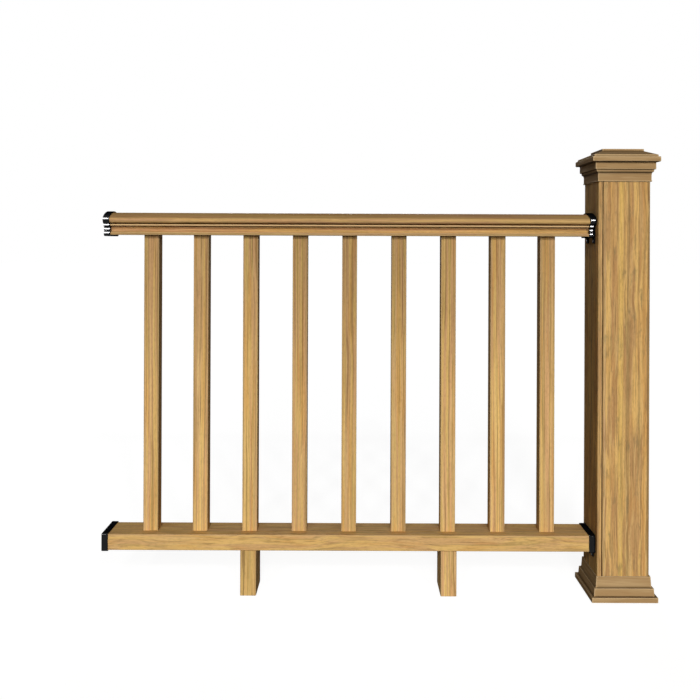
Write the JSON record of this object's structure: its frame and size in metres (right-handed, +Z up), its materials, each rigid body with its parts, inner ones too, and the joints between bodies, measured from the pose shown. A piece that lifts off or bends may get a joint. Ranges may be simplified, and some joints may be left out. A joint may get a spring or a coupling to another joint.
{
  "type": "deck railing section",
  "caption": "One bay of wood-look deck railing with square balusters, foot blocks and a sleeved post with skirt and stepped cap.",
  "frame": {"origin": "centre of the post's foot, on the deck", "axes": "+Z up, rails run from the post towards -X, the section's front faces -Y"},
  "size_m": [1.3161, 0.1596, 1.0665],
  "materials": {
    "streaked_board": "wood-look composite with long darker and pinkish streaks, satin",
    "moulded_trim": "plainer, browner wood-look composite, satin",
    "bracket_plastic": "glossy black moulded plastic"
  },
  "bodies": {
    "root": {"post_front_board": "streaked_board", "post_right_board": "streaked_board", "post_back_board": "streaked_board", "post_left_board": "streaked_board", "post_skirt": "moulded_trim", "post_cap": "moulded_trim", "top_rail": "streaked_board", "bottom_rail": "streaked_board", "baluster_1": "streaked_board", "baluster_2": "streaked_board", "baluster_3": "streaked_board", "baluster_4": "streaked_board", "baluster_5": "streaked_board", "baluster_6": "streaked_board", "baluster_7": "streaked_board", "baluster_8": "streaked_board", "baluster_9": "streaked_board", "foot_block_left": "streaked_board", "foot_block_right": "streaked_board", "top_bracket_left": "bracket_plastic", "top_bracket_right": "bracket_plastic", "bottom_bracket_left": "bracket_plastic", "bottom_bracket_right": "bracket_plastic"}
  },
  "joints": []
}
